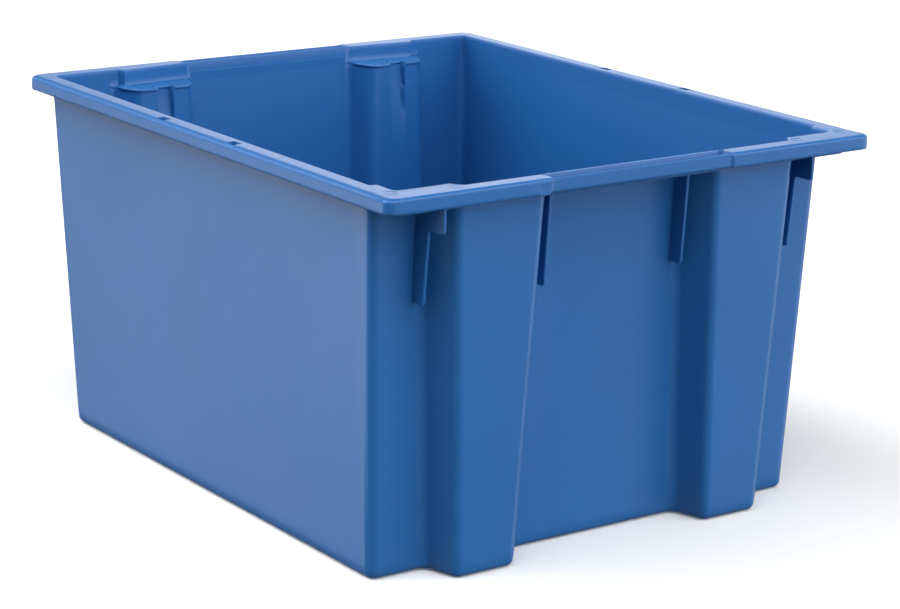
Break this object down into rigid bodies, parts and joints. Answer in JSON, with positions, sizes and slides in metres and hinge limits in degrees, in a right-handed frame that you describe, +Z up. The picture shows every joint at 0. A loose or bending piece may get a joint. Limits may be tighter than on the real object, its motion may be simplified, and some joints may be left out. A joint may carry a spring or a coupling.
{
  "type": "stackable storage bin",
  "caption": "Open-topped rectangular nest-and-stack bin with a columned front end, pilastered rear end, stacking ledges, nesting ribs and a skirted rim.",
  "frame": {"origin": "middle of the footprint, on the ground", "axes": "+Z up; +Y towards the rear end, the one with the inward pilasters; -Y is the end with the two outward columns; +X to the right when facing +Y"},
  "size_m": [0.495, 0.597, 0.33],
  "materials": {
    "moulded_polymer": "semi-gloss moulded blue polymer"
  },
  "bodies": {
    "root": {"floor_panel": "moulded_polymer", "front_centre_ledge": "moulded_polymer", "front_centre_panel": "moulded_polymer", "front_left_column": "moulded_polymer", "front_left_corner_ledge": "moulded_polymer", "front_left_corner_panel": "moulded_polymer", "front_left_foot": "moulded_polymer", "front_left_inner_rib": "moulded_polymer", "front_left_outer_rib": "moulded_polymer", "front_left_rim": "moulded_polymer", "front_right_column": "moulded_polymer", "front_right_corner_ledge": "moulded_polymer", "front_right_corner_panel": "moulded_polymer", "front_right_foot": "moulded_polymer", "front_right_inner_rib": "moulded_polymer", "front_right_outer_rib": "moulded_polymer", "front_right_rim": "moulded_polymer", "front_rim_channel": "moulded_polymer", "left_rim": "moulded_polymer", "left_side_wall": "moulded_polymer", "rear_centre_foot": "moulded_polymer", "rear_centre_panel": "moulded_polymer", "rear_left_corner_foot": "moulded_polymer", "rear_left_corner_panel": "moulded_polymer", "rear_left_inner_rib": "moulded_polymer", "rear_left_ledge": "moulded_polymer", "rear_left_outer_rib": "moulded_polymer", "rear_left_pilaster": "moulded_polymer", "rear_left_rim": "moulded_polymer", "rear_right_corner_foot": "moulded_polymer", "rear_right_corner_panel": "moulded_polymer", "rear_right_inner_rib": "moulded_polymer", "rear_right_ledge": "moulded_polymer", "rear_right_outer_rib": "moulded_polymer", "rear_right_pilaster": "moulded_polymer", "rear_right_rim": "moulded_polymer", "rear_rim_channel": "moulded_polymer", "right_rim": "moulded_polymer", "right_side_wall": "moulded_polymer"}
  },
  "joints": []
}
